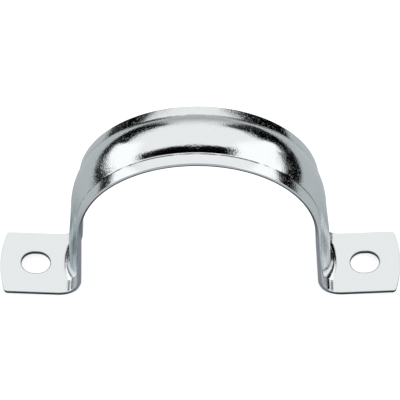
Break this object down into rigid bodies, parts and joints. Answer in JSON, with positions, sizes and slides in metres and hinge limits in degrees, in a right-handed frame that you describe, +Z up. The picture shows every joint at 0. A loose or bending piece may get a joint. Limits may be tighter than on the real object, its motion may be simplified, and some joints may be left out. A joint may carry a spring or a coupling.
{
  "type": "conduit strap",
  "caption": "Saddle strap that holds a round conduit to a wall: a ribbed arch with legs and two flat feet, slotted for bolts, pressed from zinc-plated sheet steel.",
  "frame": {"origin": "under the crown of the arch, at the height of the lowest line of the heels, midway between the feet", "axes": "+X from foot to foot, +Y along the conduit, +Z up from the wall through the crown"},
  "size_m": [0.1572, 0.0278, 0.0908],
  "materials": {
    "zinc_steel": "bright zinc plate on pressed sheet steel"
  },
  "bodies": {
    "root": {"strap": "zinc_steel"}
  },
  "joints": []
}
